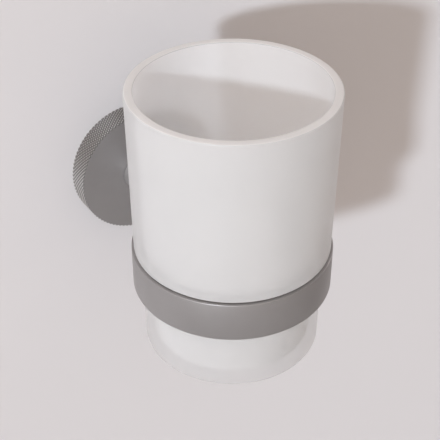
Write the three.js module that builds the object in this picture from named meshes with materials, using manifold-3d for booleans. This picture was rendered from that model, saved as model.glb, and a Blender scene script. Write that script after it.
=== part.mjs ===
// Wall-mounted tumbler holder: a knurled rosette on a hidden wall plate carries a short post,
// and the post carries a flat ring in which a stepped frosted-glass tumbler hangs by its shoulder.
// Millimetres, +Z up. The origin is the rosette's centre on the wall, and +Y points into the wall.

import * as THREE from 'three';
import { mergeVertices } from 'three/addons/utils/BufferGeometryUtils.js';
import Module from 'manifold-3d';

// Driving dimensions: the tumbler
const RIM_RADIUS = 35.1;
const SHOULDER_RADIUS = 34.4;
const SPIGOT_RADIUS = 31.9;
const FOOT_RADIUS = 31.5;
const TUMBLER_HEIGHT = 100;
const UPPER_HEIGHT = 60.2;
const GLASS_WALL = 3.2;
const GLASS_FLOOR = 2.8;

// Driving dimensions: ring, liner and post
const AXIS_TO_WALL = 76;
const RING_OUTER_RADIUS = 35.2;
const RING_WALL = 2.2;
const RING_HEIGHT = 14.8;
const LINER_THICKNESS = 0.7;
const FLANGE_THICKNESS = 0.3;
const FLANGE_INSET = 1.3;
const POST_RADIUS = 7.4;

// Driving dimensions: rosette, its knurl and the wall plate
const ROSETTE_RADIUS = 25.3;
const ROSETTE_DEPTH = 9.5;
const ROSETTE_FRONT_WALL = 3;
const ROSETTE_BORE_RADIUS = 21.5;
const KNURLS_ROUND = 80;
const KNURLS_ACROSS = 6;
const KNURL_DEPTH = 0.55;
const PLATE_RADIUS = 21.2;
const PLATE_DEPTH = 6;
const FIXING_SPREAD = 25;

// Gaps: between faces that rest on each other, and between a screw and its hole
const SEAT_GAP = 0.05;
const SCREW_GAP = 0.3;

// Facets round the tumbler and ring, round the liner, post and plate, and round the small pieces
const LARGE_SEGMENTS = 60;
const MEDIUM_SEGMENTS = 48;
const SMALL_SEGMENTS = 16;

// Levels that follow from the driving dimensions
const RING_TOP = RING_HEIGHT / 2;
const FLANGE_BOTTOM = RING_TOP + SEAT_GAP;
const FLANGE_TOP = FLANGE_BOTTOM + FLANGE_THICKNESS;
const SHOULDER_Z = FLANGE_TOP + SEAT_GAP;
const RIM_Z = SHOULDER_Z + UPPER_HEIGHT;
const FOOT_Z = RIM_Z - TUMBLER_HEIGHT;
const RING_INNER_RADIUS = RING_OUTER_RADIUS - RING_WALL;
const FRONT_Y = -ROSETTE_DEPTH;
const BORE_FLOOR_Y = FRONT_Y + ROSETTE_FRONT_WALL;
const RING_BACK_Y = -AXIS_TO_WALL + RING_OUTER_RADIUS;
const RING_BORE_BACK_Y = -AXIS_TO_WALL + RING_INNER_RADIUS;

const wasm = await Module();
wasm.setup();

// Profiles and basic forms

// Points [radius, height] of an arc, from one angle to another in degrees.
function arc(centreR, centreH, radius, fromDegrees, toDegrees, steps) {
  const points = [];
  for (let i = 0; i <= steps; i++) {
    const angle = THREE.MathUtils.degToRad(fromDegrees + ((toDegrees - fromDegrees) * i) / steps);
    points.push([centreR + radius * Math.cos(angle), centreH + radius * Math.sin(angle)]);
  }
  return points;
}

// Points of a smooth S from one [radius, height] to another, upright at both ends.
function sweep(from, to, steps) {
  const middle = (from[1] + to[1]) / 2;
  const curve = new THREE.CubicBezierCurve(
    new THREE.Vector2(...from),
    new THREE.Vector2(from[0], middle),
    new THREE.Vector2(to[0], middle),
    new THREE.Vector2(...to),
  );
  return curve.getPoints(steps).map((point) => [point.x, point.y]);
}

// A body turned about the Y axis. The profile [radius, y] runs outwards, then up, then inwards.
function turned(profile, segments) {
  return new THREE.LatheGeometry(profile.map(([r, y]) => new THREE.Vector2(r, y)), segments);
}

// The same about the vertical axis of the tumbler.
function upright(profile, segments) {
  return turned(profile, segments).rotateX(Math.PI / 2).translate(0, -AXIS_TO_WALL, 0);
}

// A round rod or hole along Y.
function rod(radius, fromY, toY, segments = SMALL_SEGMENTS) {
  return turned([[0, fromY], [radius, fromY], [radius, toY], [0, toY]], segments);
}

// A prism along Y, from an outline in the XZ plane.
function prism(outline, fromY, toY) {
  const depth = toY - fromY;
  const curveSegments = SMALL_SEGMENTS / 2;
  const geometry = new THREE.ExtrudeGeometry(outline, { depth, curveSegments, bevelEnabled: false });
  return geometry.rotateX(Math.PI / 2).translate(0, toY, 0);
}

// A hexagon of the given width across flats.
function hexagon(acrossFlats) {
  const shape = new THREE.Shape();
  const radius = acrossFlats / Math.sqrt(3);
  for (let i = 0; i < 6; i++) {
    const angle = (i * Math.PI) / 3;
    const point = new THREE.Vector2(radius * Math.cos(angle), radius * Math.sin(angle));
    if (i === 0) shape.moveTo(point.x, point.y);
    else shape.lineTo(point.x, point.y);
  }
  shape.closePath();
  return shape;
}

// A slot with round ends along X, of the given radius and distance between its end centres.
function slot(radius, centres) {
  const shape = new THREE.Shape();
  shape.absarc(centres / 2, 0, radius, -Math.PI / 2, Math.PI / 2, false);
  shape.absarc(-centres / 2, 0, radius, Math.PI / 2, (3 * Math.PI) / 2, false);
  shape.closePath();
  return shape;
}

// Joining and cutting

function solidOf(geometry) {
  const bare = geometry.clone();
  bare.deleteAttribute('normal');
  bare.deleteAttribute('uv');
  const merged = mergeVertices(bare);
  const corners = merged.index.array;
  const triangles = [];
  for (let i = 0; i < corners.length; i += 3) {
    const [a, b, c] = corners.slice(i, i + 3);
    if (a !== b && b !== c && c !== a) triangles.push(a, b, c);
  }
  const vertProperties = new Float32Array(merged.attributes.position.array);
  const triVerts = new Uint32Array(triangles);
  return new wasm.Manifold(new wasm.Mesh({ numProp: 3, vertProperties, triVerts }));
}

function geometryOf(solid) {
  const mesh = solid.getMesh();
  const geometry = new THREE.BufferGeometry();
  geometry.setAttribute('position', new THREE.BufferAttribute(mesh.vertProperties, mesh.numProp));
  geometry.setIndex(new THREE.BufferAttribute(mesh.triVerts, 1));
  geometry.computeVertexNormals();
  return geometry;
}

function cut(geometry, ...tools) {
  const rest = tools.reduce((body, tool) => body.subtract(solidOf(tool)), solidOf(geometry));
  return geometryOf(rest);
}

// Finishes

const gunmetal = { color: 0x95918e, roughness: 0.48, metalness: 0.8 };
const frostedGlass = { color: 0xe9e8e6, roughness: 0.6, metalness: 0 };
const linerPlastic = { color: 0x5a524c, roughness: 0.6, metalness: 0 };
const steel = { color: 0xb4b3b0, roughness: 0.35, metalness: 1 };
const zinc = { color: 0x9b9c9e, roughness: 0.5, metalness: 1 };
const nylon = { color: 0x8d9093, roughness: 0.7, metalness: 0 };

const holder = new THREE.Group();

function place(name, geometry, finish, position = [0, 0, 0]) {
  const mesh = new THREE.Mesh(geometry, new THREE.MeshStandardMaterial(finish));
  mesh.name = name;
  mesh.position.set(...position);
  holder.add(mesh);
}

// Tumbler: a wide upper part, a shoulder that rests in the ring, and a narrower lower part

function tumbler() {
  const rimRound = 0.6;
  const footRound = 1.4;
  const shoulderRound = 0.5;
  const stepAbove = 5;
  const stepBelow = 3;
  const puntRadius = 20;
  const puntDepth = 0.8;
  const puntSlope = 2;
  const floorRound = 2;
  const innerRim = RIM_RADIUS - GLASS_WALL;
  const innerUpper = SHOULDER_RADIUS - GLASS_WALL;
  const innerLower = SPIGOT_RADIUS - GLASS_WALL;
  const innerFloor = FOOT_RADIUS - GLASS_WALL;
  const floorZ = FOOT_Z + GLASS_FLOOR;
  const profile = [
    [0, FOOT_Z + puntDepth],
    [puntRadius - puntSlope, FOOT_Z + puntDepth],
    [puntRadius, FOOT_Z],
    ...arc(FOOT_RADIUS - footRound, FOOT_Z + footRound, footRound, -90, 0, 3),
    ...arc(SPIGOT_RADIUS + shoulderRound, SHOULDER_Z - shoulderRound, shoulderRound, 180, 90, 2),
    ...arc(SHOULDER_RADIUS - shoulderRound, SHOULDER_Z + shoulderRound, shoulderRound, -90, 0, 2),
    ...arc(RIM_RADIUS - rimRound, RIM_Z - rimRound, rimRound, 0, 90, 3),
    ...arc(innerRim + rimRound, RIM_Z - rimRound, rimRound, 90, 180, 3),
    ...sweep([innerUpper, SHOULDER_Z + stepAbove], [innerLower, SHOULDER_Z - stepBelow], 4),
    ...arc(innerFloor - floorRound, floorZ + floorRound, floorRound, 0, -90, 3),
    [0, floorZ],
  ];
  return upright(profile, LARGE_SEGMENTS);
}

place('tumbler', tumbler(), frostedGlass);

// Ring: a flat band with broken edges, countersunk from inside for the screw into the post

const RING_SCREW = { radius: 2, headRadius: 3.7, sunk: 0.15, length: 12, socketWidth: 2.5, socketDepth: 1.4 };
const RING_SCREW_TOP = RING_BORE_BACK_Y + RING_SCREW.sunk;
const RING_SCREW_NECK = RING_SCREW_TOP + (RING_SCREW.headRadius - RING_SCREW.radius);
const RING_SCREW_TIP = RING_SCREW_TOP + RING_SCREW.length;

function bandProfile(innerRadius, outerRadius, bottom, top, edge) {
  return [
    [innerRadius + edge, bottom],
    [outerRadius - edge, bottom],
    [outerRadius, bottom + edge],
    [outerRadius, top - edge],
    [outerRadius - edge, top],
    [innerRadius + edge, top],
    [innerRadius, top - edge],
    [innerRadius, bottom + edge],
    [innerRadius + edge, bottom],
  ];
}

function ring() {
  const brokenEdge = 0.2;
  const beyond = 1.5;
  const throughRadius = RING_SCREW.radius + SCREW_GAP;
  const mouthRadius = RING_SCREW.headRadius + SCREW_GAP;
  const countersink = turned([
    [0, RING_SCREW_TOP - beyond],
    [mouthRadius, RING_SCREW_TOP - beyond],
    [mouthRadius, RING_SCREW_TOP],
    [throughRadius, RING_SCREW_NECK],
    [throughRadius, RING_BACK_Y + beyond],
    [0, RING_BACK_Y + beyond],
  ], SMALL_SEGMENTS);
  const profile = bandProfile(RING_INNER_RADIUS, RING_OUTER_RADIUS, -RING_TOP, RING_TOP, brokenEdge);
  return cut(upright(profile, LARGE_SEGMENTS), countersink);
}

place('holder_ring', ring(), gunmetal);

// Liner: a thin sleeve inside the ring, with a flange on its top edge under the tumbler's shoulder

function liner() {
  const outer = RING_INNER_RADIUS - 2 * SEAT_GAP;
  const inner = outer - LINER_THICKNESS;
  const flangeRadius = RING_OUTER_RADIUS - FLANGE_INSET;
  const shortOfRing = 1;
  const sleeveBottom = -RING_TOP + shortOfRing;
  const profile = [
    [inner, sleeveBottom],
    [outer, sleeveBottom],
    [outer, FLANGE_BOTTOM],
    [flangeRadius, FLANGE_BOTTOM],
    [flangeRadius, FLANGE_TOP],
    [inner + FLANGE_THICKNESS, FLANGE_TOP],
    [inner, FLANGE_TOP - FLANGE_THICKNESS],
    [inner, sleeveBottom],
  ];
  return upright(profile, MEDIUM_SEGMENTS);
}

place('ring_liner', liner(), linerPlastic);

// Post: a plain round bar, hollowed at the ring end to sit on the ring, tapped at both ends

const POST_SCREW = {
  radius: 2.5, headRadius: 4.2, headHeight: 3, length: 16, socketWidth: 3, socketDepth: 1.8,
};
const WASHER_THICKNESS = 1.2;
const POST_SCREW_SEAT = BORE_FLOOR_Y + SEAT_GAP + WASHER_THICKNESS + SEAT_GAP;
const POST_SCREW_TIP = POST_SCREW_SEAT - POST_SCREW.length;
const PIN = { radius: 1.25, offset: 5.4, depthInPost: 4, shortOfBore: 0.3, gap: 0.2 };
const PIN_FROM = FRONT_Y - PIN.depthInPost;
const PIN_TO = BORE_FLOOR_Y - PIN.shortOfBore;

function pinHole(fromY, toY) {
  return rod(PIN.radius + PIN.gap, fromY, toY).translate(0, 0, PIN.offset);
}

function post() {
  const edge = 0.3;
  const drillPast = 1;
  const wallEnd = FRONT_Y - SEAT_GAP;
  const bar = turned([
    [0, RING_BACK_Y - POST_RADIUS],
    [POST_RADIUS, RING_BACK_Y - POST_RADIUS],
    [POST_RADIUS, wallEnd - edge],
    [POST_RADIUS - edge, wallEnd],
    [0, wallEnd],
  ], MEDIUM_SEGMENTS);
  const saddleRadius = RING_OUTER_RADIUS + SEAT_GAP;
  const saddle = upright([
    [0, -2 * POST_RADIUS],
    [saddleRadius, -2 * POST_RADIUS],
    [saddleRadius, 2 * POST_RADIUS],
    [0, 2 * POST_RADIUS],
  ], LARGE_SEGMENTS);
  const ringTap = rod(RING_SCREW.radius + SCREW_GAP, RING_BACK_Y - POST_RADIUS, RING_SCREW_TIP + drillPast);
  const wallTap = rod(POST_SCREW.radius + SCREW_GAP, POST_SCREW_TIP - drillPast, FRONT_Y + drillPast);
  return cut(bar, saddle, ringTap, wallTap, pinHole(PIN_FROM - PIN.gap, FRONT_Y + drillPast));
}

place('arm_post', post(), gunmetal);

// Screws with a hexagon socket, all along Y with the head's top at the lower end

function socketScrew(profile, { socketWidth, socketDepth }, topY) {
  const beyond = 1;
  const socket = prism(hexagon(socketWidth), topY - beyond, topY + socketDepth);
  return cut(turned(profile, SMALL_SEGMENTS), socket);
}

function ringScrew() {
  const tipChamfer = 0.5;
  const profile = [
    [0, RING_SCREW_TOP],
    [RING_SCREW.headRadius, RING_SCREW_TOP],
    [RING_SCREW.radius, RING_SCREW_NECK],
    [RING_SCREW.radius, RING_SCREW_TIP - tipChamfer],
    [RING_SCREW.radius - tipChamfer, RING_SCREW_TIP],
    [0, RING_SCREW_TIP],
  ];
  return socketScrew(profile, RING_SCREW, RING_SCREW_TOP);
}

place('ring_screw', ringScrew(), steel);

// The post screw comes from behind, so it is drawn with its head's top at y = 0 and turned round.
function postScrew() {
  const tipChamfer = 0.6;
  const headEdge = 0.4;
  const headHeight = POST_SCREW.headHeight;
  const tip = headHeight + POST_SCREW.length;
  const profile = [
    [0, 0],
    [POST_SCREW.headRadius - headEdge, 0],
    [POST_SCREW.headRadius, headEdge],
    [POST_SCREW.headRadius, headHeight],
    [POST_SCREW.radius, headHeight],
    [POST_SCREW.radius, tip - tipChamfer],
    [POST_SCREW.radius - tipChamfer, tip],
    [0, tip],
  ];
  const screw = socketScrew(profile, POST_SCREW, 0);
  return screw.rotateX(Math.PI).translate(0, POST_SCREW_SEAT + headHeight, 0);
}

place('post_screw', postScrew(), steel);

// Spring lock washer: a ring split by a slanting cut
function lockWasher() {
  const brim = 0.4;
  const splitWidth = 0.6;
  const splitTilt = Math.PI / 6;
  const inner = POST_SCREW.radius + SCREW_GAP;
  const outer = POST_SCREW.headRadius + brim;
  const fromY = BORE_FLOOR_Y + SEAT_GAP;
  const toY = fromY + WASHER_THICKNESS;
  const band = turned([[inner, fromY], [outer, fromY], [outer, toY], [inner, toY], [inner, fromY]],
    MEDIUM_SEGMENTS / 2);
  const split = new THREE.BoxGeometry(splitWidth, 3 * WASHER_THICKNESS, outer);
  split.rotateZ(splitTilt).translate(0, (fromY + toY) / 2, -(outer + inner) / 2);
  return cut(band, split);
}

place('lock_washer', lockWasher(), steel);

function locatingPin() {
  const edge = 0.25;
  const profile = [
    [0, PIN_FROM],
    [PIN.radius - edge, PIN_FROM],
    [PIN.radius, PIN_FROM + edge],
    [PIN.radius, PIN_TO - edge],
    [PIN.radius - edge, PIN_TO],
    [0, PIN_TO],
  ];
  return turned(profile, SMALL_SEGMENTS).translate(0, 0, PIN.offset);
}

place('locating_pin', locatingPin(), steel);

// Rosette: a turned cup over the wall plate, with a diamond knurl round its rim

const GRUB = {
  radius: 2, length: 5, tipRadius: 0.5, tipLength: 1.5, y: -3.4, sunk: 0.4, socketWidth: 2, socketDepth: 2,
};
const GRUB_HEAD_Z = -ROSETTE_RADIUS + GRUB.sunk;

// One ring of vertices round Y: radiusAt gives the radius at each of the columns.
function vertexRing(columns, y, radiusAt) {
  const ringPoints = [];
  for (let column = 0; column < columns; column++) {
    const angle = (2 * Math.PI * column) / columns;
    const radius = radiusAt(column);
    ringPoints.push(radius * Math.cos(angle), y, radius * Math.sin(angle));
  }
  return ringPoints;
}

// The knurl is a lattice of crests and hollows that alternate like a chessboard. Each crest is the
// top of a four-sided point, and the lines between hollows are the two families of crossing grooves.
// The knurl runs out to the flat face, whose edge is jagged for that reason, and stops short of the wall.
function knurledDisc() {
  const columns = 2 * KNURLS_ROUND;
  const rows = 2 * KNURLS_ACROSS;
  const rearEdge = 0.15;
  const rootRadius = ROSETTE_RADIUS - KNURL_DEPTH;
  const positions = [];
  const rings = [];
  const corners = [];

  function addRing(y, radiusAt) {
    rings.push(positions.length / 3);
    positions.push(...vertexRing(columns, y, radiusAt));
  }

  function addCentre(y) {
    positions.push(0, y, 0);
    return positions.length / 3 - 1;
  }

  // Joins two rings. A cell is split from hollow to hollow, so that every crest is a point.
  function joinRings(lower, upper, splitAt) {
    for (let column = 0; column < columns; column++) {
      const next = (column + 1) % columns;
      const a = rings[lower] + column;
      const b = rings[lower] + next;
      const c = rings[upper] + next;
      const d = rings[upper] + column;
      if (splitAt(column)) corners.push(a, d, b, b, d, c);
      else corners.push(a, d, c, a, c, b);
    }
  }

  const isCrest = (row, column) => (row + column) % 2 === 0;
  const pitch = (-rearEdge - FRONT_Y) / rows;
  for (let row = 0; row <= rows; row++) {
    addRing(FRONT_Y + row * pitch, (column) => (isCrest(row, column) ? ROSETTE_RADIUS : rootRadius));
  }
  addRing(0, () => rootRadius - rearEdge);

  for (let row = 0; row <= rows; row++) {
    joinRings(row, row + 1, (column) => row < rows && isCrest(row, column));
  }
  const faceCentre = addCentre(FRONT_Y);
  const rearCentre = addCentre(0);
  const rearRing = rings[rings.length - 1];
  for (let column = 0; column < columns; column++) {
    const next = (column + 1) % columns;
    corners.push(faceCentre, rings[0] + column, rings[0] + next);
    corners.push(rearCentre, rearRing + next, rearRing + column);
  }

  const geometry = new THREE.BufferGeometry();
  geometry.setAttribute('position', new THREE.Float32BufferAttribute(positions, 3));
  geometry.setIndex(corners);
  return geometry;
}

function rosette() {
  const beyond = 1;
  const boreEdge = 0.4;
  const bore = turned([
    [0, BORE_FLOOR_Y],
    [ROSETTE_BORE_RADIUS, BORE_FLOOR_Y],
    [ROSETTE_BORE_RADIUS, -boreEdge],
    [ROSETTE_BORE_RADIUS + boreEdge, 0],
    [ROSETTE_BORE_RADIUS + boreEdge, beyond],
    [0, beyond],
  ], MEDIUM_SEGMENTS);
  const screwHole = rod(POST_SCREW.radius + SCREW_GAP, FRONT_Y - beyond, BORE_FLOOR_Y + beyond);
  const pinSocket = pinHole(FRONT_Y - beyond, BORE_FLOOR_Y + beyond);
  const grubHole = rod(GRUB.radius + SCREW_GAP, -ROSETTE_RADIUS - beyond, -ROSETTE_BORE_RADIUS + beyond);
  grubHole.rotateX(Math.PI / 2).translate(0, GRUB.y, 0);
  return cut(knurledDisc(), bore, screwHole, pinSocket, grubHole);
}

place('wall_rosette', rosette(), gunmetal);

// Grub screw: up through the rosette's underside, its cone point in the wall plate's groove

function grubScrew() {
  const headEdge = 0.3;
  const length = GRUB.length;
  const profile = [
    [0, 0],
    [GRUB.radius - headEdge, 0],
    [GRUB.radius, headEdge],
    [GRUB.radius, length - GRUB.tipLength],
    [GRUB.tipRadius, length],
    [0, length],
  ];
  const screw = socketScrew(profile, GRUB, 0);
  return screw.rotateX(Math.PI / 2).translate(0, GRUB.y, GRUB_HEAD_Z);
}

place('grub_screw', grubScrew(), steel);

// Wall plate: a turned hub with a groove for the grub screw, two short slots for the wall screws
// and a recess that clears the post screw's head

const WALL_SCREW = { radius: 1.9, headRadius: 3.6, headHeight: 2.4, tipY: 32, pointLength: 4 };
const WALL_SCREW_SEAT = -2.2;
const PLUG = { radius: 3, boreRadius: 2.2, fromY: 3, toY: 33, barbs: 6, barbDepth: 0.45, slit: 0.9 };
const FIXING_X = FIXING_SPREAD / 2;
const SLOT_TRAVEL = 1.6;

function wallPlate() {
  const beyond = 1;
  const grooveWidth = 4;
  const grooveDepth = 1.5;
  const grooveFloor = 1.4;
  const edge = 0.6;
  const recessRadius = 6.6;
  const headRoom = 0.4;
  const recessFloor = POST_SCREW_SEAT + POST_SCREW.headHeight + headRoom;
  const hub = turned([
    [0, -PLATE_DEPTH],
    [PLATE_RADIUS - edge, -PLATE_DEPTH],
    [PLATE_RADIUS, -PLATE_DEPTH + edge],
    [PLATE_RADIUS, GRUB.y - grooveWidth / 2],
    [PLATE_RADIUS - grooveDepth, GRUB.y - grooveFloor / 2],
    [PLATE_RADIUS - grooveDepth, GRUB.y + grooveFloor / 2],
    [PLATE_RADIUS, GRUB.y + grooveWidth / 2],
    [PLATE_RADIUS, 0],
    [0, 0],
  ], MEDIUM_SEGMENTS);
  const recess = rod(recessRadius, -PLATE_DEPTH - beyond, recessFloor, MEDIUM_SEGMENTS / 2);
  const holeRadius = WALL_SCREW.radius + SCREW_GAP;
  const pocketRadius = WALL_SCREW.headRadius + SCREW_GAP;
  const pocketFloor = WALL_SCREW_SEAT - SEAT_GAP;
  const tools = [recess];
  for (const x of [-FIXING_X, FIXING_X]) {
    const hole = prism(slot(holeRadius, SLOT_TRAVEL), -PLATE_DEPTH, beyond);
    const pocket = prism(slot(pocketRadius, SLOT_TRAVEL), -PLATE_DEPTH - beyond, pocketFloor);
    tools.push(hole.translate(x, 0, 0), pocket.translate(x, 0, 0));
  }
  return cut(hub, ...tools);
}

place('wall_plate', wallPlate(), zinc);

// Wall screw: a pan head with a cross recess, and a plain shank down to its point

function wallScrew() {
  const seat = WALL_SCREW_SEAT - 2 * SEAT_GAP;
  const headTop = seat - WALL_SCREW.headHeight;
  const domeRound = 1.2;
  const recessLength = 3.6;
  const recessWidth = 0.9;
  const recessDepth = 1.4;
  const beyond = 1;
  const body = turned([
    [0, headTop],
    ...arc(WALL_SCREW.headRadius - domeRound, headTop + domeRound, domeRound, -90, 0, 3),
    [WALL_SCREW.headRadius, seat],
    [WALL_SCREW.radius, seat],
    [WALL_SCREW.radius, WALL_SCREW.tipY - WALL_SCREW.pointLength],
    [0, WALL_SCREW.tipY],
  ], SMALL_SEGMENTS);
  const blade = new THREE.BoxGeometry(recessLength, recessDepth + beyond, recessWidth);
  blade.translate(0, headTop + (recessDepth - beyond) / 2, 0);
  return cut(body, blade, blade.clone().rotateY(Math.PI / 2));
}

// Wall plug: an open sleeve with barbs round it, split lengthwise so that it can spread

function wallPlug() {
  const barbLength = (PLUG.toY - PLUG.fromY) / (PLUG.barbs + 1);
  const collarY = PLUG.fromY + barbLength;
  const profile = [[PLUG.boreRadius, PLUG.fromY], [PLUG.radius, PLUG.fromY], [PLUG.radius, collarY]];
  for (let barb = 0; barb < PLUG.barbs; barb++) {
    const startY = collarY + barb * barbLength;
    profile.push([PLUG.radius + PLUG.barbDepth, startY]);
    profile.push([PLUG.radius, startY + barbLength]);
  }
  profile.push([PLUG.boreRadius, PLUG.toY], [PLUG.boreRadius, PLUG.fromY]);
  const beyond = 1;
  const slitFrom = collarY + barbLength / 2;
  const slitTo = PLUG.toY + beyond;
  const slit = new THREE.BoxGeometry(PLUG.slit, slitTo - slitFrom, 4 * PLUG.radius);
  slit.translate(0, (slitFrom + slitTo) / 2, 0);
  return cut(turned(profile, SMALL_SEGMENTS), slit);
}

for (const [side, x] of [['left', -FIXING_X], ['right', FIXING_X]]) {
  place(`wall_screw_${side}`, wallScrew(), steel, [x, 0, 0]);
  place(`wall_plug_${side}`, wallPlug(), nylon, [x, 0, 0]);
}

export default holder;
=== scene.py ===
"""Wall-mounted tumbler holder: surfaces, materials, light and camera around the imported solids."""

import math

import bmesh
import bpy
from mathutils import Matrix, Vector


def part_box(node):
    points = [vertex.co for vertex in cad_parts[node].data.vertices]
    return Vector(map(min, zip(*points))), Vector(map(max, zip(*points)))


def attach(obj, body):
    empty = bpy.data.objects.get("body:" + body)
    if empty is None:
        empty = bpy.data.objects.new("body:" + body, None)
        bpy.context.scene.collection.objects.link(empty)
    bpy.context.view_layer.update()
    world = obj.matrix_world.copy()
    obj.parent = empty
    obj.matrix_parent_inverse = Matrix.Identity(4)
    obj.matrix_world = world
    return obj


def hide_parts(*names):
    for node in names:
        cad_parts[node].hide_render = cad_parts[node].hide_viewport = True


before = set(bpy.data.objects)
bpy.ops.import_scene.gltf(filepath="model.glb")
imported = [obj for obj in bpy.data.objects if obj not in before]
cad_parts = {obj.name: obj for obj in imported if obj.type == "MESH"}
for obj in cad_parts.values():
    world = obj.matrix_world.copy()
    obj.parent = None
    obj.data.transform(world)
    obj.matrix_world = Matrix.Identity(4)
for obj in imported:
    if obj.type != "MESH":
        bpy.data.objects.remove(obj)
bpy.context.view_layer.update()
MM = 0.001

# Camera: the photograph's viewpoint
CAMERA_PLACE = (-161.7 * MM, -319.75 * MM, 227.2 * MM)
CAMERA_DOWN = math.radians(35.8)
CAMERA_RIGHT = math.radians(32.72)
CAMERA_LENS = 85.5
CAMERA_NEAREST = 0.01
SENSOR = 36.0

# Sizes that the frame doesn't give as a box
GLASS_WALL = 3.2 * MM
GLASS_FLOOR = 2.8 * MM
SPIGOT_RADIUS = 31.9 * MM
SHOULDER_RADIUS = 34.4 * MM
FOOT_RADIUS = 31.5 * MM
RIM_ROUND = 0.6 * MM
RING_WALL = 2.2 * MM
RING_SCREW_RADIUS = 2.0 * MM
POST_SCREW_RADIUS = 2.5 * MM
GRUB_RADIUS = 2.0 * MM
WALL_SCREW_RADIUS = 1.9 * MM
WALL_SCREW_HEAD = 2.4 * MM
LINER_THICKNESS = 0.7 * MM
KNURLS_ROUND = 94
KNURLS_ACROSS = 7
KNURL_DEPTH = 0.5 * MM
ROSETTE_BORE = 21.5 * MM
ROSETTE_FRONT_WALL = 3.0 * MM
SEAT_GAP = 0.05 * MM
SCREW_GAP = 0.3 * MM
SIDES = ("left", "right")

# Fineness of the meshes: columns round large and small pieces, thread rings in a pitch, and the
# angle in degrees past which an edge is crisp
LARGE_COLUMNS = 192
PLATE_COLUMNS = 128
POST_COLUMNS = 96
SMALL_COLUMNS = 40
THREAD_STEPS = 10
SHARP = 30
KNURL_SHARP = 12

# Cutting: how far a tool reaches past the piece, and the distance at which points are joined after
BEYOND = 1 * MM
WELD = 0.002 * MM

# Most values of a noise lie between these two
NOISE_LOW, NOISE_HIGH = 0.3, 0.7


def middle(node):
    """The middle of a solid's box."""
    low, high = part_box(node)
    return (low + high) / 2


def radius_of(node):
    """Half a solid's width."""
    low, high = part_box(node)
    return (high.x - low.x) / 2


RING_LOW, RING_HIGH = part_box("holder_ring")
TUMBLER_LOW, TUMBLER_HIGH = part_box("tumbler")
TUMBLER_MIDDLE = middle("tumbler")
LINER_LOW, LINER_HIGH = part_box("ring_liner")
ROSETTE_LOW, ROSETTE_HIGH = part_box("wall_rosette")
TUMBLER_AXIS = Vector((0, middle("holder_ring").y, 0))
RING_RADIUS = radius_of("holder_ring")
SHOULDER_Z = LINER_HIGH.z + SEAT_GAP


# Meshes

def value_at(entry, angle):
    """A number as it is, or a function's value at an angle."""
    return entry(angle) if callable(entry) else entry


def ring_spots(radius, height, columns, axis):
    """The points of one ring of a loft. A ring of radius 0 is a single point."""
    if radius == 0:
        spots = [(0.0, 0.0, value_at(height, 0.0))]
    else:
        spots = []
        for column in range(columns):
            angle = math.tau * column / columns
            reach, rise = value_at(radius, angle), value_at(height, angle)
            spots.append((reach * math.cos(angle), reach * math.sin(angle), rise))
    if axis == "Y":
        spots = [(x, z, y) for x, y, z in spots]
    return spots


def loft(name, rings, columns=LARGE_COLUMNS, axis="Z", centre=(0, 0, 0), closed=False):
    """A mesh through rings of (radius, height), each a number or a function of the angle.

    A closed loft joins its last ring to its first."""
    bm = bmesh.new()
    rows = []
    for radius, height in rings:
        spots = ring_spots(radius, height, columns, axis)
        rows.append([bm.verts.new(Vector(spot) + Vector(centre)) for spot in spots])
    pairs = list(zip(rows, rows[1:]))
    if closed:
        pairs.append((rows[-1], rows[0]))
    for lower, upper in pairs:
        for column in range(columns):
            following = (column + 1) % columns
            corners = [lower[column % len(lower)], lower[following % len(lower)],
                       upper[following % len(upper)], upper[column % len(upper)]]
            bm.faces.new(list(dict.fromkeys(corners)))
    return finished(name, bm)


def finished(name, bm, sharp=SHARP):
    """Turns a bmesh into an object with smooth faces and crisp edges past the given angle."""
    mesh = bpy.data.meshes.new(name)
    bmesh.ops.recalc_face_normals(bm, faces=bm.faces)
    for face in bm.faces:
        face.smooth = True
    bm.to_mesh(mesh)
    bm.free()
    mesh.set_sharp_from_angle(angle=math.radians(sharp))
    piece = bpy.data.objects.new(name, mesh)
    bpy.context.scene.collection.objects.link(piece)
    return piece


def arc(centre_r, centre_h, radius, start, end, steps):
    """Points (radius, height) of an arc, from one angle to another in degrees."""
    points = []
    for step in range(steps + 1):
        angle = math.radians(start + (end - start) * step / steps)
        points.append((centre_r + radius * math.cos(angle), centre_h + radius * math.sin(angle)))
    return points


def band(inner, outer, bottom, top, edge, steps=3):
    """The closed profile of a flat ring with its four edges rounded."""
    return (arc(outer - edge, bottom + edge, edge, -90, 0, steps)
            + arc(outer - edge, top - edge, edge, 0, 90, steps)
            + arc(inner + edge, top - edge, edge, 90, 180, steps)
            + arc(inner + edge, bottom + edge, edge, 180, 270, steps))


def round_outline(radius, count, x=0.0, z=0.0, travel=0.0):
    """Points round a circle or hexagon, or round a slot along X.

    Travel is the distance between the centres of the slot's two round ends."""
    points = []
    for step in range(count):
        angle = math.tau * (step + 0.5) / count
        end = x + math.copysign(travel / 2, math.cos(angle))
        points.append((end + radius * math.cos(angle), z + radius * math.sin(angle)))
    return points


def bar_outline(width, height, x=0.0, z=0.0):
    """The corners of a rectangle."""
    corners = ((1, 1), (-1, 1), (-1, -1), (1, -1))
    return [(x + width / 2 * right, z + height / 2 * up) for right, up in corners]


def prism(outline, start, end):
    """A tool for cutting: an outline in X and Z, drawn along Y."""
    bm = bmesh.new()
    caps = [[bm.verts.new((x, y, z)) for x, z in outline] for y in (start, end)]
    for corner in range(len(outline)):
        following = (corner + 1) % len(outline)
        bm.faces.new((caps[0][corner], caps[0][following], caps[1][following], caps[1][corner]))
    for cap in caps:
        bm.faces.new(cap)
    return finished("tool", bm)


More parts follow.
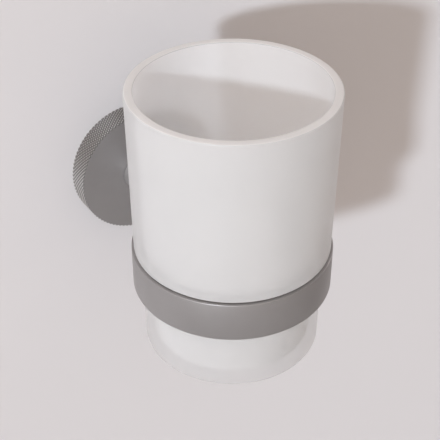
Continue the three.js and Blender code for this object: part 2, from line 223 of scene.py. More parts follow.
def cut(piece, *tools, sharp=SHARP):
    """Cuts the tools out of a piece, closes the slivers that this leaves and removes the tools."""
    for tool in tools:
        modifier = piece.modifiers.new("cut", "BOOLEAN")
        modifier.operation = "DIFFERENCE"
        modifier.object = tool
    graph = bpy.context.evaluated_depsgraph_get()
    piece.data = bpy.data.meshes.new_from_object(piece.evaluated_get(graph))
    bm = bmesh.new()
    bm.from_mesh(piece.data)
    bmesh.ops.remove_doubles(bm, verts=bm.verts, dist=WELD)
    bmesh.ops.dissolve_degenerate(bm, edges=bm.edges, dist=WELD)
    bm.to_mesh(piece.data)
    bm.free()
    piece.data.set_sharp_from_angle(angle=math.radians(sharp))
    piece.modifiers.clear()
    for tool in tools:
        bpy.data.objects.remove(tool)
    return piece


def thread(root, crest, start, end, pitch):
    """Rings of a screw thread: a ridge that climbs a pitch in each turn and fades at both ends."""
    def radius_at(height):
        fade = min(1, (height - start) / pitch, (end - height) / pitch)

        def radius(angle):
            turn = (height / pitch + angle / math.tau) % 1
            return root + (crest - root) * fade * (1 - abs(2 * turn - 1))
        return radius

    count = round((end - start) / pitch * THREAD_STEPS)
    heights = [start + (end - start) * step / count for step in range(count + 1)]
    return [(radius_at(height), height) for height in heights]


def fit(piece, body, slot, material, *nodes):
    """Gives a piece its material and its body, and hides the solids that it stands for."""
    piece.data.materials.append(material)
    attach(piece, body)
    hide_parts(*nodes)
    return piece


# Materials

class Shader:
    """A Principled material with short helpers for procedural detail."""

    def __init__(self, name, **values):
        self.material = bpy.data.materials.new(name)
        self.material.use_nodes = True
        self.nodes = self.material.node_tree.nodes
        self.links = self.material.node_tree.links
        self.principled = self.nodes["Principled BSDF"]
        for socket, value in values.items():
            self.principled.inputs[socket.replace("_", " ")].default_value = value
        self.place = self.nodes.new("ShaderNodeTexCoord").outputs["Object"]

    def stretched(self, scale):
        node = self.nodes.new("ShaderNodeMapping")
        node.inputs["Scale"].default_value = scale
        self.links.new(self.place, node.inputs["Vector"])
        return node.outputs["Vector"]

    def noise(self, scale, detail, vector=None):
        node = self.nodes.new("ShaderNodeTexNoise")
        node.inputs["Scale"].default_value = scale
        node.inputs["Detail"].default_value = detail
        self.links.new(vector or self.place, node.inputs["Vector"])
        return node.outputs["Fac"]

    def ramp(self, factor, low, high):
        """Colours or grey values from low to high as the factor goes over its middle range."""
        node = self.nodes.new("ShaderNodeValToRGB")
        places = (NOISE_LOW, NOISE_HIGH)
        for stop, place, colour in zip(node.color_ramp.elements, places, (low, high)):
            stop.position = place
            stop.color = colour if isinstance(colour, tuple) else (colour, colour, colour, 1)
        self.links.new(factor, node.inputs["Fac"])
        return node.outputs["Color"]

    def set(self, socket, output):
        self.links.new(output, self.principled.inputs[socket])

    def bump(self, height, strength, distance):
        node = self.nodes.new("ShaderNodeBump")
        node.inputs["Strength"].default_value = strength
        node.inputs["Distance"].default_value = distance
        self.links.new(height, node.inputs["Height"])
        self.set("Normal", node.outputs["Normal"])

    def ranged(self, value, start, end, low, high):
        """A value that goes from low to high as another goes from start to end."""
        node = self.nodes.new("ShaderNodeMapRange")
        self.links.new(value, node.inputs["Value"])
        entries = {"From Min": start, "From Max": end, "To Min": low, "To Max": high}
        for socket, entry in entries.items():
            if isinstance(entry, bpy.types.NodeSocket):
                self.links.new(entry, node.inputs[socket])
            else:
                node.inputs[socket].default_value = entry
        return node.outputs["Result"]

    def height(self):
        node = self.nodes.new("ShaderNodeSeparateXYZ")
        self.links.new(self.place, node.inputs["Vector"])
        return node.outputs["Z"]

    def distance_from_y_axis(self):
        node = self.nodes.new("ShaderNodeVectorMath")
        node.operation = "LENGTH"
        self.links.new(self.stretched((1, 0, 1)), node.inputs[0])
        return node.outputs["Value"]

    def by_side(self, front, back):
        """One value where a ray meets the surface from outside, another where from inside."""
        geometry = self.nodes.new("ShaderNodeNewGeometry")
        return self.ranged(geometry.outputs["Backfacing"], 0, 1, front, back)

    def soak(self, share, colour):
        """Lets a share of the light scatter through the surface."""
        through = self.nodes.new("ShaderNodeBsdfTranslucent")
        through.inputs["Color"].default_value = colour
        mix = self.nodes.new("ShaderNodeMixShader")
        mix.inputs["Fac"].default_value = share
        self.links.new(self.principled.outputs["BSDF"], mix.inputs[1])
        self.links.new(through.outputs["BSDF"], mix.inputs[2])
        self.links.new(mix.outputs["Shader"], self.nodes["Material Output"].inputs["Surface"])


PLATING_METALLIC = 0.6
PLATING_GRAIN = 9000
GLASS_CLOUD = 45
GLASS_ETCH = 6000
GLASS_TINT = (0.98, 0.975, 0.97, 1)


def plating(red):
    """A grey that is a little warm."""
    return (red, red - 0.015, red - 0.02, 1)


def gunmetal_material(name, red, smoothest, roughest):
    """Satin dark-grey plating, slightly cloudy and finely grained."""
    clouding = 0.012
    shader = Shader(name, Metallic=PLATING_METALLIC)
    cloud = shader.noise(scale=60, detail=3)
    grain = shader.noise(scale=PLATING_GRAIN, detail=1)
    shader.set("Base Color", shader.ramp(cloud, plating(red - clouding), plating(red + clouding)))
    shader.set("Roughness", shader.ramp(grain, smoothest, roughest))
    shader.bump(grain, strength=0.12, distance=0.02 * MM)
    return shader.material


def knurl_shaded_material(root, crest):
    """The same plating on the knurl, with painted shade in the hollows and a painted highlight on
    the points.
    """
    # Painted shade and highlight: the colour runs from dark in the hollows to bright on the points,
    # by distance from the axis.
    shaded_hollow, point = (0.05, 0.047, 0.045, 1), (0.55, 0.52, 0.5, 1)
    shader = Shader("gunmetal_knurl_painted_shade", Metallic=PLATING_METALLIC)
    grain = shader.noise(scale=PLATING_GRAIN, detail=1)
    rise = shader.ranged(shader.distance_from_y_axis(), root, crest, NOISE_LOW, NOISE_HIGH)
    shader.set("Base Color", shader.ramp(rise, shaded_hollow, point))
    shader.set("Roughness", shader.ramp(grain, 0.4, 0.5))
    return shader.material


def pale(white, warmth):
    """A near-white colour, a little warmer than grey."""
    return (white, white - warmth, white - 2 * warmth, 1)


def skin_material(name, white, outside, inside, soak, roughness=0.36, warmth=0.005,
                  shoulder_painted_light=None):
    """The tumbler's outside: clear glass under a thin satin bloom.

    Outside and inside are the shares of the glass that the bloom hides, seen from either side, and
    soak is the share of light that scatters through it. Towards the shoulder the bloom may turn
    denser, as painted light over the shade that falls in the glass just above the ring."""
    clouding, roughness_spread = 0.02, 0.03
    painted_light_top = SHOULDER_Z + 6 * MM
    shader = Shader(name)
    cloud = shader.noise(scale=GLASS_CLOUD, detail=3)
    etch = shader.noise(scale=GLASS_ETCH, detail=2)
    dull, bright = pale(white - clouding, warmth), pale(white, warmth)
    shader.set("Base Color", shader.ramp(cloud, dull, bright))
    smoothest, roughest = roughness - roughness_spread, roughness + roughness_spread
    shader.set("Roughness", shader.ramp(etch, smoothest, roughest))
    # Painted light: a denser bloom towards the shoulder covers the shade in the glass just above the
    # ring.
    if shoulder_painted_light:
        outside = shader.ranged(shader.height(), SHOULDER_Z, painted_light_top, shoulder_painted_light, outside)
    shader.set("Alpha", shader.by_side(outside, inside))
    shader.soak(soak, GLASS_TINT)
    return shader.material


def core_material(name, white, inside, outside, soak):
    """The tumbler's white-etched inside.

    Inside and outside are the shares of light that pass through the etching from either side, and
    soak is the share that scatters through it. The rest is scattered back."""
    clouding, warmth = 0.01, 0.01
    shader = Shader(name, IOR=1.15)
    cloud = shader.noise(scale=GLASS_CLOUD, detail=3)
    etch = shader.noise(scale=GLASS_ETCH, detail=2)
    dull, bright = pale(white - clouding, warmth), pale(white, warmth)
    shader.set("Base Color", shader.ramp(cloud, dull, bright))
    shader.set("Roughness", shader.ramp(etch, 0.38, 0.42))
    shader.set("Transmission Weight", shader.by_side(inside, outside))
    shader.soak(soak, GLASS_TINT)
    return shader.material


def liner_material():
    """Matte brown-grey plastic."""
    shader = Shader("liner_plastic")
    cloud = shader.noise(scale=120, detail=3)
    grain = shader.noise(scale=5000, detail=2)
    shader.set("Base Color", shader.ramp(cloud, (0.11, 0.092, 0.082, 1), (0.13, 0.11, 0.098, 1)))
    shader.set("Roughness", shader.ramp(grain, 0.45, 0.6))
    shader.bump(grain, strength=0.1, distance=0.02 * MM)
    return shader.material


def steel_material():
    """Stainless steel with fine marks from turning."""
    shader = Shader("screw_steel", Metallic=1.0)
    cloud = shader.noise(scale=300, detail=3)
    turned = shader.noise(scale=1500, detail=2, vector=shader.stretched((0.2, 6, 0.2)))
    shader.set("Base Color", shader.ramp(cloud, (0.52, 0.51, 0.5, 1), (0.6, 0.59, 0.58, 1)))
    shader.set("Roughness", shader.ramp(turned, 0.25, 0.4))
    shader.bump(turned, strength=0.08, distance=0.02 * MM)
    return shader.material


def zinc_material():
    """Plain cast metal."""
    shader = Shader("plate_zinc", Metallic=1.0)
    cloud = shader.noise(scale=150, detail=4)
    cast = shader.noise(scale=1400, detail=3)
    shader.set("Base Color", shader.ramp(cloud, (0.42, 0.42, 0.43, 1), (0.54, 0.54, 0.55, 1)))
    shader.set("Roughness", shader.ramp(cast, 0.42, 0.62))
    shader.bump(cast, strength=0.25, distance=0.05 * MM)
    return shader.material


def nylon_material():
    """Matte grey nylon that lets a little light in."""
    shader = Shader("plug_nylon", Subsurface_Weight=0.15, Subsurface_Scale=1 * MM)
    cloud = shader.noise(scale=200, detail=3)
    grain = shader.noise(scale=4000, detail=2)
    shader.set("Base Color", shader.ramp(cloud, (0.36, 0.37, 0.38, 1), (0.44, 0.45, 0.46, 1)))
    shader.set("Roughness", shader.ramp(grain, 0.5, 0.65))
    shader.bump(grain, strength=0.15, distance=0.03 * MM)
    return shader.material


gunmetal = gunmetal_material("gunmetal", red=0.358, smoothest=0.46, roughest=0.54)
# The ring's copy of the plating is smoother, and a little darker than the rest as painted shade.
shaded_ring_gunmetal = gunmetal_material("gunmetal_ring_painted_shade", red=0.33, smoothest=0.39, roughest=0.47)
glass_skin = skin_material("glass_skin", white=0.53, outside=0.8, inside=0.08, soak=0.36,
                           shoulder_painted_light=0.98)
glass_foot = skin_material("glass_foot", white=0.6, outside=0.35, inside=0.2, soak=0.1)
# The rim's finish is whiter and hides more of the glass: a painted glow of the light that runs along
# the glass to the rim.
glass_rim_painted_glow = skin_material("glass_rim_painted_glow", white=0.825, outside=0.95, inside=0.3, soak=0.1,
                          roughness=0.6, warmth=0.022)
glass_seat = skin_material("glass_seat", white=0.83, outside=0.9, inside=0.85, soak=0.1)
etched_glass = core_material("etched_glass", white=0.885, inside=0.58, outside=0.46, soak=0.05)
etched_foot = core_material("etched_foot", white=0.82, inside=0.58, outside=0.46, soak=0.05)
liner_plastic = liner_material()
steel = steel_material()
zinc = zinc_material()
nylon = nylon_material()


# Tumbler: upper part, shoulder, narrower lower part, all at an even wall thickness

def tumbler():
    """One revolved wall, from the middle of the foot up the outside and down the inside."""
    rim_radius = radius_of("tumbler")
    rim_z, foot_z = TUMBLER_HIGH.z, TUMBLER_LOW.z
    foot_round = 1.4 * MM
    shoulder_round = 0.5 * MM
    floor_round = 2.0 * MM
    punt_radius, punt_slope, punt_depth = 20 * MM, 2 * MM, 0.8 * MM
    shoulder_above, shoulder_below = 2.5 * MM, 4 * MM
    inner_rim = rim_radius - GLASS_WALL
    inner_upper = SHOULDER_RADIUS - GLASS_WALL
    inner_lower = SPIGOT_RADIUS - GLASS_WALL
    inner_floor = FOOT_RADIUS - GLASS_WALL
    floor_z = foot_z + GLASS_FLOOR
    shoulder_steps = 16
    shoulder = []
    for step in range(shoulder_steps + 1):
        share = step / shoulder_steps
        ease = share * share * (3 - 2 * share)
        shoulder.append((inner_upper + (inner_lower - inner_upper) * ease,
                         SHOULDER_Z + shoulder_above - (shoulder_above + shoulder_below) * share))
    profile = [(0, foot_z + punt_depth), (punt_radius - punt_slope, foot_z + punt_depth),
               (punt_radius, foot_z)]
    profile += arc(FOOT_RADIUS - foot_round, foot_z + foot_round, foot_round, -90, 0, steps=8)
    profile += arc(SPIGOT_RADIUS + shoulder_round, SHOULDER_Z - shoulder_round, shoulder_round,
                   180, 90, steps=5)
    profile += arc(SHOULDER_RADIUS - shoulder_round, SHOULDER_Z + shoulder_round, shoulder_round,
                   -90, 0, steps=5)
    profile += arc(rim_radius - RIM_ROUND, rim_z - RIM_ROUND, RIM_ROUND, 0, 90, steps=8)
    profile += arc(inner_rim + RIM_ROUND, rim_z - RIM_ROUND, RIM_ROUND, 90, 180, steps=8)
    profile += shoulder
    profile += arc(inner_floor - floor_round, floor_z + floor_round, floor_round, 0, -90, steps=8)
    profile += [(0, floor_z)]
    return loft("tumbler_glass", profile, centre=TUMBLER_AXIS)


def glass_finish(face):
    """The finish of one face: rim with painted glow, etched inside, shoulder's seat, clearer foot or
    outside.
    """
    facing_up, facing_down = 0.8, -0.3
    seat_reach = 0.5 * MM
    above_shoulder = face.center.z - SHOULDER_Z
    # Painted glow: the rim gets a whiter, more opaque finish than the walls.
    if face.center.z > TUMBLER_HIGH.z - RIM_ROUND and face.normal.z > facing_up:
        return glass_rim_painted_glow
    if face.normal.dot(face.center - TUMBLER_MIDDLE) < 0:
        return etched_glass if above_shoulder > 0 else etched_foot
    if abs(above_shoulder) < seat_reach and face.normal.z < facing_down:
        return glass_seat
    return glass_foot if above_shoulder < 0 else glass_skin


def finish_glass(piece):
    """Gives each face of the tumbler its finish."""
    for material in (etched_glass, glass_rim_painted_glow, glass_foot, glass_seat, etched_foot):
        piece.data.materials.append(material)
    finishes = list(piece.data.materials)
    for face in piece.data.polygons:
        face.material_index = finishes.index(glass_finish(face))


tumbler_glass = fit(tumbler(), "tumbler", "frosted_glass", glass_skin, "tumbler")
finish_glass(tumbler_glass)


# Ring, liner and post

def ring():
    """A flat band with a countersunk hole at its back for the screw into the post."""
    edge = 0.25 * MM
    profile = band(RING_RADIUS - RING_WALL, RING_RADIUS, RING_LOW.z, RING_HIGH.z, edge)
    screw_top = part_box("ring_screw")[0].y
    mouth = radius_of("ring_screw") + SCREW_GAP
    through = RING_SCREW_RADIUS + SCREW_GAP
    neck = screw_top + mouth - through
    far = RING_HIGH.y + BEYOND
    hole = [(0, screw_top - BEYOND), (mouth, screw_top - BEYOND), (mouth, screw_top),
            (through, neck), (through, far), (0, far)]
    countersink = loft("tool", hole, columns=SMALL_COLUMNS, axis="Y")
    return cut(loft("ring_band", profile, centre=TUMBLER_AXIS, closed=True), countersink)


def liner():
    """A thin sleeve inside the ring, with a flange on the ring's top."""
    flange = radius_of("ring_liner")
    outer = RING_RADIUS - RING_WALL - 2 * SEAT_GAP
    inner = outer - LINER_THICKNESS
    bottom, top = LINER_LOW.z, LINER_HIGH.z
    thickness = top - RING_HIGH.z - SEAT_GAP
    edge = 0.12 * MM
    profile = arc(outer - edge, bottom + edge, edge, -90, 0, steps=2)
    profile += [(outer, top - thickness)]
    profile += arc(flange - edge, top - thickness + edge, edge, -90, 0, steps=2)
    profile += arc(flange - edge, top - edge, edge, 0, 90, steps=2)
    profile += arc(inner + thickness, top - thickness, thickness, 90, 180, steps=4)
    profile += arc(inner + edge, bottom + edge, edge, 180, 270, steps=2)
    return loft("liner_sleeve", profile, centre=TUMBLER_AXIS, closed=True)


def pin_hole():
    """A tool for the holes that the locating pin sits in."""
    low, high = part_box("locating_pin")
    gap = 0.2 * MM
    radius = radius_of("locating_pin") + gap
    outline = round_outline(radius, SMALL_COLUMNS, z=middle("locating_pin").z)
    return prism(outline, low.y - gap, high.y + BEYOND)


def post():
    """A round bar, hollowed to the ring's curve in front and tapped at both ends."""
    radius = radius_of("arm_post")
    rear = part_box("arm_post")[1].y
    edge = 0.3 * MM
    seat = RING_RADIUS + SEAT_GAP

    def saddle(share):
        """The ring's back face under the post's end, at a share of the post's radius."""
        def place(angle):
            sideways = share * radius * math.cos(angle)
            return TUMBLER_AXIS.y + math.sqrt(seat ** 2 - sideways ** 2)
        return place

    rings = [(0, saddle(0)), (radius, saddle(1)), (radius, rear - edge)]
    rings += [(radius - edge, rear), (0, rear)]
    ring_tap = prism(round_outline(RING_SCREW_RADIUS + SCREW_GAP, SMALL_COLUMNS),
                     RING_HIGH.y - BEYOND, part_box("ring_screw")[1].y + BEYOND)
    wall_tap = prism(round_outline(POST_SCREW_RADIUS + SCREW_GAP, SMALL_COLUMNS),
                     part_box("post_screw")[0].y - BEYOND, rear + BEYOND)
    bar = loft("post_bar", rings, columns=POST_COLUMNS, axis="Y")
    return cut(bar, ring_tap, wall_tap, pin_hole())


fit(ring(), "holder", "gunmetal", shaded_ring_gunmetal, "holder_ring")
fit(liner(), "liner", "liner_plastic", liner_plastic, "ring_liner")
fit(post(), "holder", "gunmetal", gunmetal, "arm_post")


# Rosette: a cup with a flat face and a diamond knurl of small blunt points round its rim

def rosette():
    """A cup, open at the back, with holes for its screw, pin and grub screw."""
    crest = radius_of("wall_rosette")
    root = crest - KNURL_DEPTH
    front, rear = ROSETTE_LOW.y, ROSETTE_HIGH.y
    rear_edge, bore_edge = 0.15 * MM, 0.4 * MM
    columns = 2 * KNURLS_ROUND
    rows = 2 * KNURLS_ACROSS
    pitch_y = (rear - rear_edge - front) / rows
    blunt = 0.16
    bm = bmesh.new()

    def spot(radius, column, y):
        angle = math.tau * column / columns
        return bm.verts.new((radius * math.cos(angle), y, radius * math.sin(angle)))

    def ring_of(radius, y):
        return [spot(radius, column, y) for column in range(columns)]

    def join(lower, upper):
        for column in range(columns):
            following = (column + 1) % columns
            bm.faces.new((lower[column], lower[following], upper[following], upper[column]))

    hollows = {}
    for row in range(rows + 1):
        for column in range(columns):
            if (row + column) % 2:
                hollows[row, column] = spot(root, column, front + row * pitch_y)

    # Each point has four sides that rise from the hollows round it to a flat top, which takes up the
    # share of the point given by blunt. At the two ends of the knurl only half a point is left. In
    # front, its cut side lies in the flat face.
    ends = {0: [None] * columns, rows: [None] * columns}
    top_radius = crest - blunt * KNURL_DEPTH
    for row in range(rows + 1):
        for column in range(columns):
            if (row + column) % 2:
                if row in ends:
                    ends[row][column] = [hollows[row, column]]
                continue
            y = front + row * pitch_y
            left = hollows[row, (column - 1) % columns]
            right = hollows[row, (column + 1) % columns]
            top_left = spot(top_radius, column - blunt, y)
            top_right = spot(top_radius, column + blunt, y)
            if row in ends:
                ends[row][column] = [top_left, top_right]
            tips = {}
            for side in (-1, 1):
                if 0 <= row + side <= rows:
                    far = hollows[row + side, column]
                    tips[side] = spot(top_radius, column, y + side * blunt * pitch_y)
                    bm.faces.new((left, far, tips[side], top_left))
                    bm.faces.new((far, right, top_right, tips[side]))
            flat_top = (top_left, tips.get(-1), top_right, tips.get(1))
            bm.faces.new([corner for corner in flat_top if corner is not None])

    rear_ring = ring_of(root - rear_edge, rear)
    for column in range(columns):
        following = (column + 1) % columns
        here, there = ends[rows][column], ends[rows][following]
        bm.faces.new((rear_ring[column], rear_ring[following], there[0], here[-1]))
        if len(here) == 2:
            bm.faces.new((rear_ring[column], *here))
    bore_rings = [ring_of(ROSETTE_BORE + bore_edge, rear), ring_of(ROSETTE_BORE, rear - bore_edge),
                  ring_of(ROSETTE_BORE, front + ROSETTE_FRONT_WALL)]
    for lower, upper in zip([rear_ring, *bore_rings], bore_rings):
        join(lower, upper)

    # The two flat faces are added after the rest is cut into triangles, so that they stay whole
    bmesh.ops.triangulate(bm, faces=bm.faces)
    bm.faces.new([vertex for run in ends[0] for vertex in run])
    bm.faces.new(bore_rings[-1])
    cup = finished("rosette_cup", bm, KNURL_SHARP)
    screw_hole = prism(round_outline(POST_SCREW_RADIUS + SCREW_GAP, SMALL_COLUMNS),
                       front - BEYOND, front + ROSETTE_FRONT_WALL + BEYOND)
    grub_outline = round_outline(GRUB_RADIUS + SCREW_GAP, SMALL_COLUMNS, z=-middle("grub_screw").y)
    grub_hole = prism(grub_outline, -crest - BEYOND, -ROSETTE_BORE + BEYOND)
    grub_hole.data.transform(Matrix.Rotation(math.pi / 2, 4, "X"))
    return cut(cup, screw_hole, pin_hole(), grub_hole, sharp=KNURL_SHARP)


def finish_knurl(piece):
    """Gives the faces of the knurl the plating with painted shade and highlight."""
    facing_along_y = 0.9
    crest = radius_of("wall_rosette")
    root = crest - KNURL_DEPTH
    piece.data.materials.append(knurl_shaded_material(root, crest))
    for face in piece.data.polygons:
        from_axis = math.hypot(face.center.x, face.center.z)
        if from_axis > root - KNURL_DEPTH and abs(face.normal.y) < facing_along_y:
            face.material_index = 1


rosette_cup = fit(rosette(), "holder", "gunmetal", gunmetal, "wall_rosette")
finish_knurl(rosette_cup)


# Screws, with the head's top at their low end along Y, and the pieces that they hold

def socket_screw(name, rings, top, width, depth):
    """A turned screw with a hexagon socket in its head."""
    corners = 6
    corner_radius = width / math.sqrt(3)
    socket = prism(round_outline(corner_radius, corners), top - BEYOND, top + depth)
    return cut(loft(name, rings, columns=SMALL_COLUMNS, axis="Y"), socket)


def ring_screw():
    """A countersunk screw."""
    low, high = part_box("ring_screw")
    pitch, root = 0.7 * MM, 1.6 * MM
    socket_width, socket_depth = 2.5 * MM, 1.4 * MM
    head_radius = radius_of("ring_screw")
    land, tip_edge = 0.15 * MM, 0.4 * MM
    neck = low.y + head_radius - root
    rings = [(0, low.y), (head_radius - land, low.y), (head_radius, low.y + land)]
    rings += [(root, neck + land)]
    rings += thread(root, RING_SCREW_RADIUS, neck + 2 * land, high.y - tip_edge, pitch)
    rings += [(root - tip_edge, high.y), (0, high.y)]
    return socket_screw("ring_screw_m4", rings, low.y, socket_width, socket_depth)


def post_screw():
    """Comes from behind, so it is drawn with its head's top at the origin and then turned round."""
    low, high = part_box("post_screw")
    pitch, root = 0.8 * MM, 2.0 * MM
    socket_width, socket_depth = 3.0 * MM, 1.8 * MM
    head_radius = radius_of("post_screw")
    head_height, head_edge, tip_edge = 3.0 * MM, 0.5 * MM, 0.5 * MM
    length = high.y - low.y
    rings = [(0, 0)]
    rings += arc(head_radius - head_edge, head_edge, head_edge, -90, 0, steps=4)
    rings += [(head_radius, head_height), (root, head_height)]
    rings += thread(root, POST_SCREW_RADIUS, head_height + tip_edge, length - tip_edge, pitch)
    rings += [(root - tip_edge, length), (0, length)]
    screw = socket_screw("post_screw_m5", rings, 0, socket_width, socket_depth)
    screw.data.transform(Matrix.Translation((0, high.y, 0)) @ Matrix.Rotation(math.pi, 4, "X"))
    return screw


def grub_screw():
    """Drawn with its head's top at the origin, then stood up under the rosette."""
    low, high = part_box("grub_screw")
    pitch, root = 0.7 * MM, 1.6 * MM
    socket_width, socket_depth = 2.0 * MM, 2.0 * MM
    head_edge, tip_radius, tip_length = 0.3 * MM, 0.5 * MM, 1.5 * MM
    length = high.z - low.z
    rings = [(0, 0), (GRUB_RADIUS - head_edge, 0), (GRUB_RADIUS, head_edge), (root, 2 * head_edge)]
    rings += thread(root, GRUB_RADIUS, 3 * head_edge, length - tip_length, pitch)
    rings += [(tip_radius, length), (0, length)]
    screw = socket_screw("grub_screw_m4", rings, 0, socket_width, socket_depth)
    foot = Matrix.Translation((0, middle("grub_screw").y, low.z))
    screw.data.transform(foot @ Matrix.Rotation(math.pi / 2, 4, "X"))
    return screw


def wall_screw(side):
    """A pan head with a cross recess, and a coarse thread down to the point."""
    node = f"wall_screw_{side}"
    low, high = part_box(node)
    x = middle(node).x
    head_radius = radius_of(node)
    seat = low.y + WALL_SCREW_HEAD
    dome, point = 1.2 * MM, 4.0 * MM
    pitch, root, neck = 1.6 * MM, 1.3 * MM, 2.5 * MM
    recess_length, recess_width, recess_depth = 3.6 * MM, 0.9 * MM, 1.4 * MM
    rings = [(0, low.y)]
    rings += arc(head_radius - dome, low.y + dome, dome, -90, 0, steps=8)
    rings += [(head_radius, seat), (root, seat)]
    rings += thread(root, WALL_SCREW_RADIUS, seat + neck, high.y - point, pitch)
    rings += [(0, high.y)]
    screw = loft(f"screw_{side}", rings, columns=SMALL_COLUMNS, axis="Y", centre=(x, 0, 0))
    recess_ends = (low.y - BEYOND, low.y + recess_depth)
    return cut(screw, prism(bar_outline(recess_length, recess_width, x), *recess_ends),
               prism(bar_outline(recess_width, recess_length, x), *recess_ends))


def wall_plug(side):
    """An open sleeve with barbs round it, split lengthwise so that it can spread."""
    node = f"wall_plug_{side}"
    low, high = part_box(node)
    x = middle(node).x
    barbs, barb_depth, slit = 6, 0.45 * MM, 0.9 * MM
    bore = WALL_SCREW_RADIUS + SCREW_GAP
    radius = radius_of(node) - barb_depth
    edge = 0.2 * MM
    barb_length = (high.y - low.y) / (barbs + 1)
    collar = low.y + barb_length
    profile = [(bore, low.y + edge), (bore + edge, low.y), (radius - edge, low.y)]
    profile += [(radius, low.y + edge), (radius, collar - edge)]
    for barb in range(barbs):
        start = collar + barb * barb_length
        profile += [(radius + barb_depth, start), (radius + barb_depth, start + edge),
                    (radius, start + barb_length - edge)]
    profile += [(radius - edge, high.y), (bore, high.y)]
    sleeve = loft(f"plug_{side}", profile, columns=SMALL_COLUMNS, axis="Y", centre=(x, 0, 0),
                  closed=True)
    slit_start = collar + barb_length / 2
    return cut(sleeve, prism(bar_outline(slit, 4 * radius, x), slit_start, high.y + BEYOND))


def wall_plate():
    """A turned hub with a groove for the grub screw and slots for the wall screws.

    A recess in its middle makes room for the post screw's head."""
    low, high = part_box("wall_plate")
    radius = radius_of("wall_plate")
    edge, rear_edge = 0.6 * MM, 0.2 * MM
    groove_half, groove_floor_half, groove_depth = 2.0 * MM, 0.7 * MM, 1.5 * MM
    recess_radius, head_room = 6.6 * MM, 0.4 * MM
    travel = 1.6 * MM
    groove_y = middle("grub_screw").y
    groove_radius = radius - groove_depth
    profile = [(0, low.y), (radius - edge, low.y), (radius, low.y + edge)]
    profile += [(radius, groove_y - groove_half), (groove_radius, groove_y - groove_floor_half)]
    profile += [(groove_radius, groove_y + groove_floor_half), (radius, groove_y + groove_half)]
    profile += [(radius, high.y - rear_edge), (radius - rear_edge, high.y), (0, high.y)]
    recess_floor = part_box("post_screw")[1].y + head_room
    tools = [prism(round_outline(recess_radius, SMALL_COLUMNS), low.y - BEYOND, recess_floor)]
    for side in SIDES:
        screw = f"wall_screw_{side}"
        x = middle(screw).x
        pocket_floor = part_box(screw)[0].y + WALL_SCREW_HEAD + SEAT_GAP
        hole = round_outline(WALL_SCREW_RADIUS + SCREW_GAP, SMALL_COLUMNS, x, travel=travel)
        pocket = round_outline(radius_of(screw) + SCREW_GAP, SMALL_COLUMNS, x, travel=travel)
        tools += [prism(hole, low.y, high.y + BEYOND), prism(pocket, low.y - BEYOND, pocket_floor)]
    return cut(loft("plate_hub", profile, columns=PLATE_COLUMNS, axis="Y"), *tools)


def lock_washer():
    """A flat ring split by a slanting cut."""
    low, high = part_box("lock_washer")
    outer = radius_of("lock_washer")
    inner = POST_SCREW_RADIUS + SCREW_GAP
    split_width, split_tilt, edge = 0.6 * MM, math.pi / 6, 0.12 * MM
    ring_profile = band(inner, outer, low.y, high.y, edge)
    washer = loft("washer_split", ring_profile, columns=SMALL_COLUMNS, axis="Y", closed=True)
    thickness = high.y - low.y
    split = prism(bar_outline(split_width, outer, z=-(outer + inner) / 2), -thickness, thickness)
    tilt = Matrix.Translation((0, (low.y + high.y) / 2, 0)) @ Matrix.Rotation(split_tilt, 4, "Z")
    split.data.transform(tilt)
    return cut(washer, split)


def locating_pin():
    """A dowel with rounded ends."""
    low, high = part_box("locating_pin")
    radius = radius_of("locating_pin")
    edge = 0.25 * MM
    rings = [(0, low.y)]
    rings += arc(radius - edge, low.y + edge, edge, -90, 0, steps=4)
    rings += arc(radius - edge, high.y - edge, edge, 0, 90, steps=4)
    rings += [(0, high.y)]
    centre = (0, 0, middle("locating_pin").z)
    return loft("pin_dowel", rings, columns=SMALL_COLUMNS, axis="Y", centre=centre)


fit(ring_screw(), "holder", "screw_steel", steel, "ring_screw")
fit(post_screw(), "holder", "screw_steel", steel, "post_screw")
fit(lock_washer(), "holder", "screw_steel", steel, "lock_washer")
fit(locating_pin(), "holder", "screw_steel", steel, "locating_pin")
fit(grub_screw(), "grub_screw", "screw_steel", steel, "grub_screw")
fit(wall_plate(), "holder", "plate_zinc", zinc, "wall_plate")
for side in SIDES:
    fit(wall_screw(side), "holder", "screw_steel", steel, f"wall_screw_{side}")
    fit(wall_plug(side), "holder", "plug_nylon", nylon, f"wall_plug_{side}")


# Stage: a plain pale wall behind the rosette and a plain pale floor well below

def stage_plane(name, corners, material):
    """A flat piece of the stage."""
    mesh = bpy.data.meshes.new(name)
    mesh.from_pydata(corners, [], [(0, 1, 2, 3)])
    plane = bpy.data.objects.new(name, mesh)
    bpy.context.scene.collection.objects.link(plane)
    mesh.materials.append(material)


def wall_material():
    """A plain pale wall, open to the camera from behind so that the fixings can be seen."""
    shader = Shader("stage_wall", Base_Color=(0.715, 0.69, 0.69, 1), Roughness=0.6,
                    Specular_IOR_Level=0.2)
    nodes, links = shader.nodes, shader.links
    clear = nodes.new("ShaderNodeBsdfTransparent")
    mix = nodes.new("ShaderNodeMixShader")
    behind = nodes.new("ShaderNodeMath")
    behind.operation = "MULTIPLY"
    links.new(nodes.new("ShaderNodeLightPath").outputs["Is Camera Ray"], behind.inputs[0])
    links.new(nodes.new("ShaderNodeNewGeometry").outputs["Backfacing"], behind.inputs[1])
    links.new(behind.outputs[0], mix.inputs["Fac"])
    links.new(shader.principled.outputs[0], mix.inputs[1])
    links.new(clear.outputs[0], mix.inputs[2])
    links.new(mix.outputs[0], nodes["Material Output"].inputs["Surface"])
    return shader.material


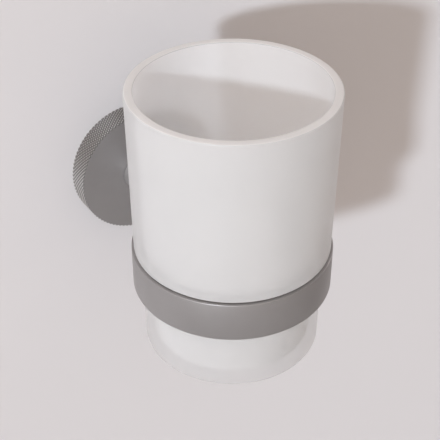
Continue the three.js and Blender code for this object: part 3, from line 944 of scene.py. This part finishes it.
# The wall stands a little in front of the plate's back, so that light from behind reaches that back
STAGE_HALF = 3.0
FLOOR_Z = -0.9
WALL_Y = -0.05 * MM
wall_corners = [(-STAGE_HALF, WALL_Y, FLOOR_Z), (STAGE_HALF, WALL_Y, FLOOR_Z),
                (STAGE_HALF, WALL_Y, STAGE_HALF), (-STAGE_HALF, WALL_Y, STAGE_HALF)]
floor_corners = [(-STAGE_HALF, -STAGE_HALF, FLOOR_Z), (STAGE_HALF, -STAGE_HALF, FLOOR_Z),
                 (STAGE_HALF, STAGE_HALF, FLOOR_Z), (-STAGE_HALF, STAGE_HALF, FLOOR_Z)]
stage_plane("stage_wall", wall_corners, wall_material())
floor_shader = Shader("stage_floor", Roughness=0.7, Base_Color=(0.5, 0.48, 0.47, 1))
stage_plane("stage_floor", floor_corners, floor_shader.material)


# Light: a key low from the left, a weak fill from the right, one lamp for what lies behind the
# wall, and a warm sky that is strongest from the left

def lamp(name, azimuth, elevation, spread, strength, colour):
    """A distant lamp. Azimuth is in degrees from straight out of the wall towards the left."""
    light = bpy.data.lights.new(name, "SUN")
    light.angle = math.radians(spread)
    light.energy = strength
    light.color = colour
    sun = bpy.data.objects.new(name, light)
    turn, rise = math.radians(azimuth), math.radians(elevation)
    level = math.cos(rise)
    away = Vector((-math.sin(turn) * level, -math.cos(turn) * level, math.sin(rise)))
    sun.rotation_euler = (-away).to_track_quat("-Z", "Y").to_euler()
    bpy.context.scene.collection.objects.link(sun)


def sky(colour, least, most, towards):
    """Soft light from all round, strongest from one side."""
    dark_side, bright_side = -0.5, 1.0
    world = bpy.data.worlds.new("studio")
    world.use_nodes = True
    nodes, links = world.node_tree.nodes, world.node_tree.links
    side = nodes.new("ShaderNodeVectorMath")
    side.operation = "DOT_PRODUCT"
    side.inputs[1].default_value = Vector(towards).normalized()
    links.new(nodes.new("ShaderNodeTexCoord").outputs["Generated"], side.inputs[0])
    strength = nodes.new("ShaderNodeMapRange")
    strength.interpolation_type = "SMOOTHSTEP"
    entries = {"From Min": dark_side, "From Max": bright_side, "To Min": least, "To Max": most}
    for socket, value in entries.items():
        strength.inputs[socket].default_value = value
    links.new(side.outputs["Value"], strength.inputs["Value"])
    background = nodes["Background"]
    background.inputs["Color"].default_value = colour
    links.new(strength.outputs["Result"], background.inputs["Strength"])
    return world


lamp("key", azimuth=53.0, elevation=13.8, spread=3.6, strength=2.43, colour=(0.81, 0.9, 1.0))
lamp("behind_wall", azimuth=200.0, elevation=30.0, spread=30.0, strength=2.0, colour=(1, 1, 1))
lamp("fill", azimuth=-88.0, elevation=10.0, spread=10.0, strength=0.66, colour=(1.0, 0.92, 0.91))
scene = bpy.context.scene
scene.world = sky((1.0, 0.88, 0.8, 1), least=0.05, most=1.05, towards=(-0.8, -0.6, 0))
scene.view_settings.view_transform = "Standard"

# Camera

camera_data = bpy.data.cameras.new("camera")
camera_data.lens = CAMERA_LENS
camera_data.sensor_width = SENSOR
camera_data.clip_start = CAMERA_NEAREST
camera = bpy.data.objects.new("camera", camera_data)
camera.location = CAMERA_PLACE
camera.rotation_euler = (math.pi / 2 - CAMERA_DOWN, 0, -CAMERA_RIGHT)
scene.collection.objects.link(camera)
scene.camera = camera
